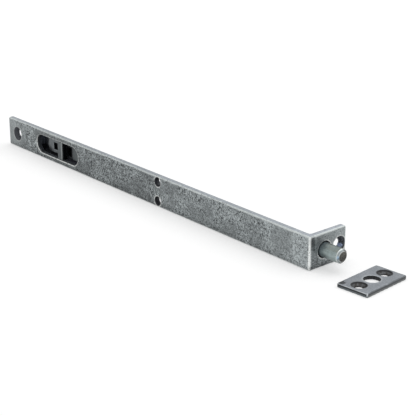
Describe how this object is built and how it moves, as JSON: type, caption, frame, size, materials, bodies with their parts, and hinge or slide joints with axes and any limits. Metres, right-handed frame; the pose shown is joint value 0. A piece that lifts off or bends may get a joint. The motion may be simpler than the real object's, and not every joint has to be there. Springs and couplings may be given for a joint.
{
  "type": "door bolt",
  "caption": "Flush door bolt: long faceplate with a return leg, round bolt worked by a finger slide in a slot, and a loose keep plate.",
  "frame": {"origin": "where the bolt's axis crosses the outer face of the return leg, at mid-width of the faceplate", "axes": "+X is the way the bolt shoots, along the faceplate; +Y goes from the faceplate's front back into the door; +Z is across the faceplate, upwards as the bolt stands on its long edge"},
  "size_m": [0.2902, 0.0296, 0.017],
  "materials": {
    "pewter_patina": "mottled pewter patina over a lightly textured plate, worn bright on the edges",
    "keep_patina": "smoother blue-grey pewter patina, thin bright edges",
    "bolt_steel": "smooth turned steel under the same patina, satin",
    "slide_steel": "darkened mild steel, satin",
    "dark_sheet": "pressed sheet, darkened",
    "spring_steel": "hardened strip, oil-blacked",
    "plain_steel": "bare steel fasteners"
  },
  "bodies": {
    "faceplate_assembly": {"faceplate": "pewter_patina", "slide_housing": "dark_sheet", "housing_rivets": "plain_steel", "inner_guide_bridge": "dark_sheet", "outer_guide_bridge": "dark_sheet", "guide_rivets": "plain_steel"},
    "slide": {"slide_bar": "slide_steel", "finger_tab": "slide_steel", "friction_spring": "spring_steel", "bolt": "bolt_steel", "bolt_screws": "plain_steel"},
    "keep": {"keep_plate": "keep_patina"}
  },
  "joints": [
    {"name": "bolt_slide", "type": "slide", "parent": "faceplate_assembly", "child": "slide", "axis": [1, 0, 0], "range_m": [-0.011, 0.011]},
    {"name": "keep_lift", "type": "slide", "parent": "faceplate_assembly", "child": "keep", "axis": [0, 0, 1], "range_m": [0, 0.03]}
  ]
}
